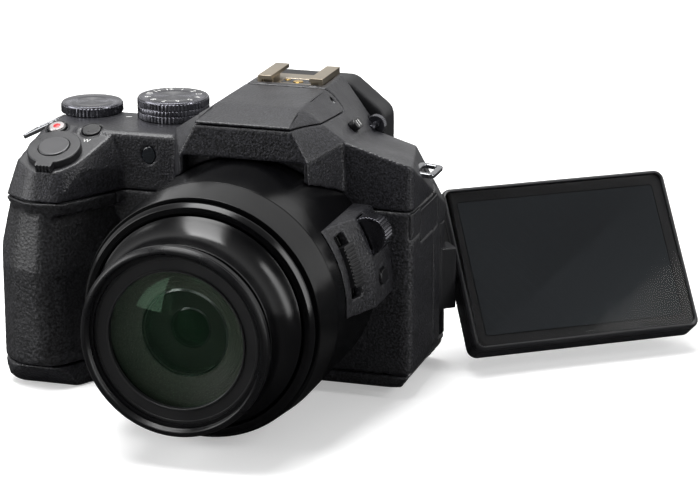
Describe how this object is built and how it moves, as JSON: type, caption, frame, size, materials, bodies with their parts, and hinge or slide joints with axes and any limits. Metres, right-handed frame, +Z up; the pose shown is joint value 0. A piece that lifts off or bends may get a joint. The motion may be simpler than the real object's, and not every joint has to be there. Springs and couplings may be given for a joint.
{
  "type": "bridge camera",
  "caption": "Bridge camera with a fixed zoom lens in moving barrels, hand grip, top dials, pop-up flash, hot shoe, viewfinder and a swinging, turning screen.",
  "frame": {"origin": "centre of the tripod socket's mouth in the base, under the lens axis", "axes": "+X to the camera's left, where the screen hinges; +Y to the back, so the lens points along -Y; +Z up"},
  "size_m": [0.2081, 0.1789, 0.0915],
  "materials": {
    "textured_body_plastic": "fine spark-eroded texture, black",
    "grip_rubber": "fine grained black rubber",
    "eyecup_rubber": "smooth black rubber",
    "barrel_lacquer": "satin black lacquer",
    "filter_ring_plastic": "satin black",
    "name_ring_paint": "matt black paint",
    "baffle_black": "flat black",
    "coated_glass": "optical glass with an anti-reflection coating",
    "clear_plastic": "clear polycarbonate",
    "turned_black_metal": "black anodised, turned face",
    "satin_button_metal": "satin grey",
    "black_control_plastic": "satin black",
    "shoe_steel": "stamped steel",
    "contact_gold": "gilt contacts",
    "lug_chrome": "polished",
    "steel": "plain steel",
    "smoked_window": "smoked clear plastic",
    "screen_case_plastic": "smooth satin black",
    "screen_glass": "dark cover glass",
    "display_panel": "unlit display",
    "reflector": "bright reflector",
    "circuit_board": "green solder mask",
    "battery_wrap": "plastic case",
    "socket_plastic": "black moulded plastic"
  },
  "bodies": {
    "camera_body": {"front_shell": "textured_body_plastic", "rear_shell": "textured_body_plastic", "top_cover": "textured_body_plastic", "base_cover": "textured_body_plastic", "side_panel": "textured_body_plastic", "eyepiece_frame": "textured_body_plastic", "grip_rubber": "grip_rubber", "thumb_rest": "grip_rubber", "eyecup": "eyecup_rubber", "lens_housing": "barrel_lacquer", "front_rim": "barrel_lacquer", "lens_base": "baffle_black", "eyepiece_glass": "clear_plastic", "hot_shoe": "shoe_steel", "shoe_contacts": "contact_gold", "strap_lugs": "lug_chrome", "pins_and_screws": "steel", "tripod_socket": "steel", "lamp_window": "smoked_window", "main_board": "circuit_board", "sensor_board": "circuit_board", "battery": "battery_wrap", "battery_box": "battery_wrap", "memory_card": "battery_wrap", "side_sockets": "socket_plastic"},
    "middle_barrel": {"middle_barrel": "barrel_lacquer"},
    "front_group": {"front_barrel": "barrel_lacquer", "filter_ring": "filter_ring_plastic", "name_ring": "name_ring_paint", "front_glass": "coated_glass", "inner_baffle": "baffle_black", "second_glass": "coated_glass", "third_glass": "coated_glass"},
    "side_zoom_lever": {"side_zoom_lever": "black_control_plastic"},
    "side_dial": {"side_dial": "turned_black_metal"},
    "focus_button": {"focus_button": "black_control_plastic"},
    "flash_head": {"flash_lid": "textured_body_plastic", "flash_reflector": "reflector", "flash_window": "clear_plastic"},
    "flash_switch": {"flash_switch": "black_control_plastic"},
    "dioptre_wheel": {"dioptre_wheel": "black_control_plastic"},
    "mode_dial": {"mode_dial": "turned_black_metal"},
    "control_dial": {"control_dial": "turned_black_metal"},
    "rear_dial": {"rear_dial": "turned_black_metal"},
    "zoom_ring": {"zoom_ring": "black_control_plastic"},
    "shutter_button": {"shutter_button": "satin_button_metal"},
    "movie_button": {"movie_button": "satin_button_metal"},
    "burst_button": {"burst_button": "black_control_plastic"},
    "hinge_block": {"hinge_block": "textured_body_plastic"},
    "screen_shaft": {"screen_shaft": "steel"},
    "screen": {"screen_rear_case": "screen_case_plastic", "screen_front_frame": "screen_case_plastic", "screen_glass": "screen_glass", "display_panel": "display_panel"},
    "battery_door": {"battery_door": "textured_body_plastic"},
    "mic_cap": {"mic_cap": "textured_body_plastic"},
    "port_door": {"port_door": "textured_body_plastic"},
    "four_way_pad": {"four_way_pad": "black_control_plastic"},
    "set_button": {"set_button": "black_control_plastic"},
    "menu_button": {"menu_button": "black_control_plastic"}
  },
  "joints": [
    {"name": "zoom_slide", "type": "slide", "parent": "camera_body", "child": "middle_barrel", "axis": [0, -1, 0], "range_m": [-0.012, 0.016]},
    {"name": "front_slide", "type": "slide", "parent": "middle_barrel", "child": "front_group", "axis": [0, -1, 0], "range_m": [-0.003, 0.004]},
    {"name": "side_zoom_turn", "type": "hinge", "parent": "camera_body", "child": "side_zoom_lever", "pos_m": [0, -0.047, 0.0383], "axis": [0, 1, 0], "range_deg": [-4.5, 4.5], "stiffness_Nm_per_rad": 0.4},
    {"name": "side_dial_turn", "type": "hinge", "parent": "camera_body", "child": "side_dial", "pos_m": [0.039, -0.033, 0.056], "axis": [0, 1, 0], "continuous": true},
    {"name": "focus_press", "type": "slide", "parent": "camera_body", "child": "focus_button", "axis": [0.9951, 0, 0.0993], "range_m": [-0.0005, 0], "stiffness_N_per_m": 500, "springref_m": 0.0005},
    {"name": "flash_open", "type": "hinge", "parent": "camera_body", "child": "flash_head", "pos_m": [0, 0.0036, 0.0865], "axis": [-1, 0, 0], "range_deg": [0, 50]},
    {"name": "flash_switch_slide", "type": "slide", "parent": "camera_body", "child": "flash_switch", "axis": [0, 1, 0], "range_m": [-0.0008, 0.0008], "stiffness_N_per_m": 300},
    {"name": "dioptre_turn", "type": "hinge", "parent": "camera_body", "child": "dioptre_wheel", "pos_m": [0.0242, 0.0226, 0.075], "axis": [0, 1, 0], "continuous": true},
    {"name": "mode_turn", "type": "hinge", "parent": "camera_body", "child": "mode_dial", "pos_m": [-0.0364, 0.003, 0.08], "axis": [0, 0, 1], "continuous": true},
    {"name": "control_turn", "type": "hinge", "parent": "camera_body", "child": "control_dial", "pos_m": [-0.0635, 0.002, 0.079], "axis": [0, 0, 1], "continuous": true},
    {"name": "rear_dial_turn", "type": "hinge", "parent": "camera_body", "child": "rear_dial", "pos_m": [-0.058, 0.0166, 0.064], "axis": [0, 0, 1], "continuous": true},
    {"name": "zoom_ring_turn", "type": "hinge", "parent": "camera_body", "child": "zoom_ring", "pos_m": [-0.0625, -0.031, 0.07265], "axis": [0, -0.3686, 0.9296], "range_deg": [-15, 15], "stiffness_Nm_per_rad": 0.02},
    {"name": "shutter_press", "type": "slide", "parent": "camera_body", "child": "shutter_button", "axis": [0, -0.3686, 0.9296], "range_m": [-0.0008, 0], "stiffness_N_per_m": 400, "springref_m": 0.0008},
    {"name": "movie_press", "type": "slide", "parent": "camera_body", "child": "movie_button", "axis": [0, -0.3686, 0.9296], "range_m": [-0.0005, 0], "stiffness_N_per_m": 500, "springref_m": 0.0005},
    {"name": "burst_press", "type": "slide", "parent": "camera_body", "child": "burst_button", "axis": [0, -0.3686, 0.9296], "range_m": [-0.0005, 0], "stiffness_N_per_m": 500, "springref_m": 0.0005},
    {"name": "screen_swing", "type": "hinge", "parent": "camera_body", "child": "hinge_block", "pos_m": [0.044, 0.0165, 0.0283], "axis": [0, 0, 1], "range_deg": [-35.8, 144.2]},
    {"name": "screen_lean", "type": "hinge", "parent": "hinge_block", "child": "screen_shaft", "pos_m": [0.044, 0.0165, 0.0283], "axis": [0.8111, 0.585, 0], "range_deg": [-9.2, 36.9]},
    {"name": "screen_turn", "type": "hinge", "parent": "screen_shaft", "child": "screen", "pos_m": [0.044, 0.0165, 0.0283], "axis": [0.8111, 0.585, 0], "range_deg": [0, 180]},
    {"name": "battery_door_open", "type": "hinge", "parent": "camera_body", "child": "battery_door", "pos_m": [-0.0622, 0.008, 0.0012], "axis": [1, 0, 0], "range_deg": [0, 100]},
    {"name": "mic_cap_open", "type": "hinge", "parent": "camera_body", "child": "mic_cap", "pos_m": [0.04775, -0.01575, 0.05175], "axis": [0, 1, 0], "range_deg": [0, 90]},
    {"name": "port_door_open", "type": "hinge", "parent": "camera_body", "child": "port_door", "pos_m": [0.04775, -0.0015, 0.04875], "axis": [0, 1, 0], "range_deg": [0, 90]},
    {"name": "pad_press", "type": "slide", "parent": "camera_body", "child": "four_way_pad", "axis": [0, 1, 0], "range_m": [-0.0005, 0], "stiffness_N_per_m": 500, "springref_m": 0.0005},
    {"name": "set_press", "type": "slide", "parent": "camera_body", "child": "set_button", "axis": [0, 1, 0], "range_m": [-0.0005, 0], "stiffness_N_per_m": 500, "springref_m": 0.0005},
    {"name": "menu_press", "type": "slide", "parent": "camera_body", "child": "menu_button", "axis": [0, 1, 0], "range_m": [-0.0005, 0], "stiffness_N_per_m": 500, "springref_m": 0.0005}
  ],
  "couplings": [
    {"joint": "front_slide", "follows": "zoom_slide", "ratio": 0.25},
    {"joint": "screen_lean", "follows": "screen_swing", "ratio": 0.2552}
  ]
}
